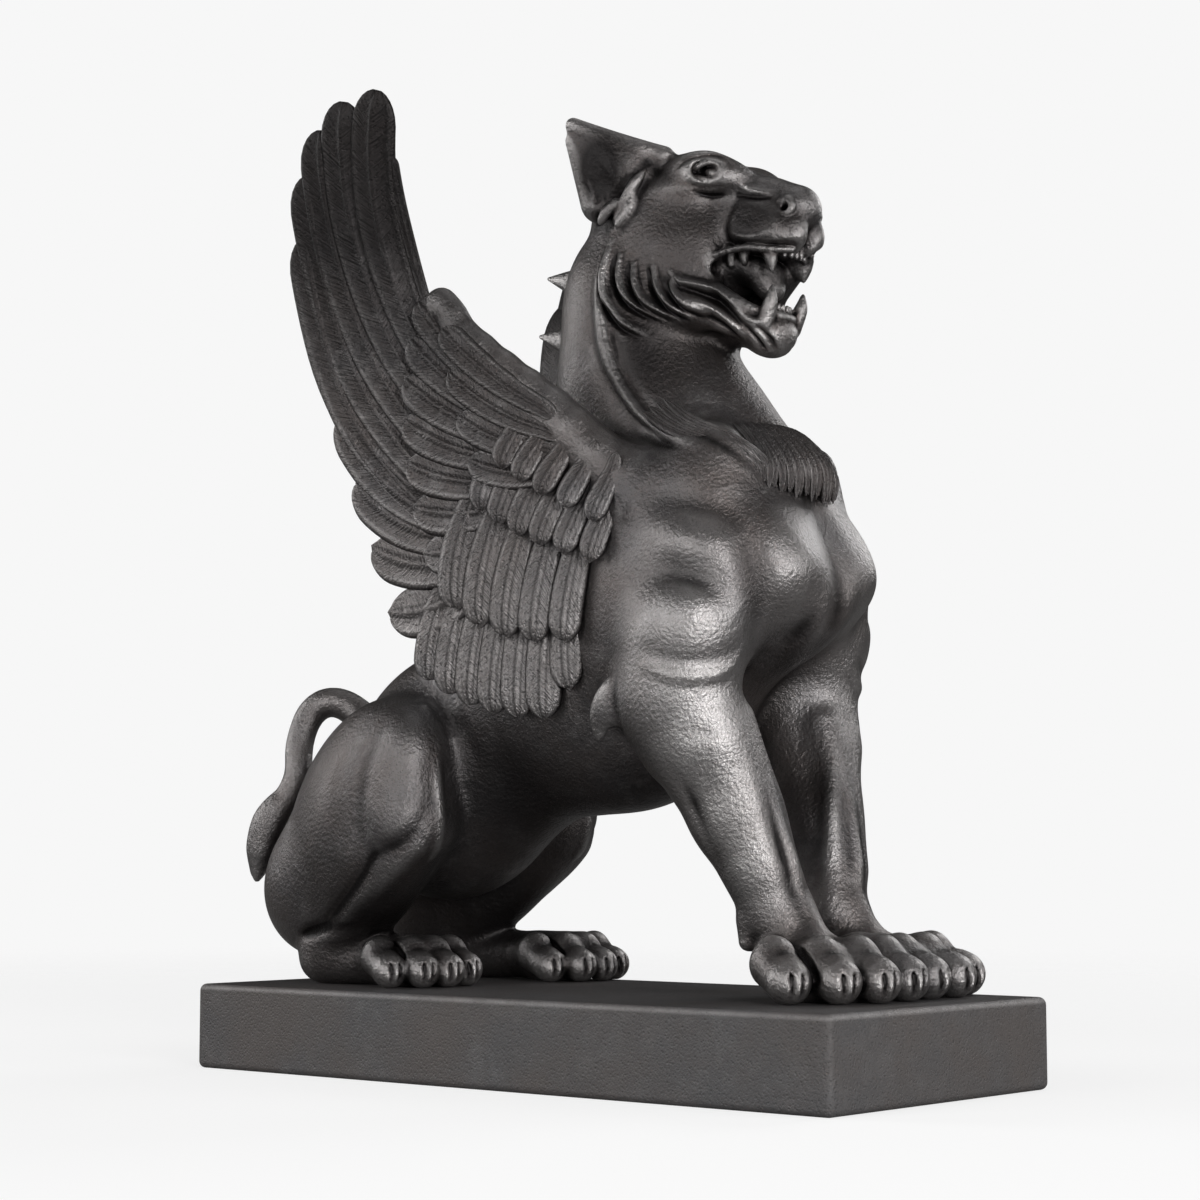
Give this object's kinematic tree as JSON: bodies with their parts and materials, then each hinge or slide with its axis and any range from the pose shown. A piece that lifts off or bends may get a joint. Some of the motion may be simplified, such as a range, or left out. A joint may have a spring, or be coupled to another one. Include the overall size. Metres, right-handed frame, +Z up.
{
  "type": "griffin statue",
  "caption": "Seated griffin of dark cast bronze on a low rectangular plinth: a big cat with open jaws, laid-back ears, raised feathered wings and a hooked tail.",
  "frame": {"origin": "middle of the plinth's underside", "axes": "+X is where the griffin looks, along the plinth; +Y to its left; +Z up"},
  "size_m": [0.5258, 0.305, 0.6057],
  "materials": {
    "bronze": "cast bronze with a near-black brown patina, hammered and worn to a satin shine on the high places",
    "plinth_bronze": "matt, finely pitted dark bronze patina"
  },
  "bodies": {
    "root": {"plinth": "plinth_bronze", "griffin": "bronze"}
  },
  "joints": []
}
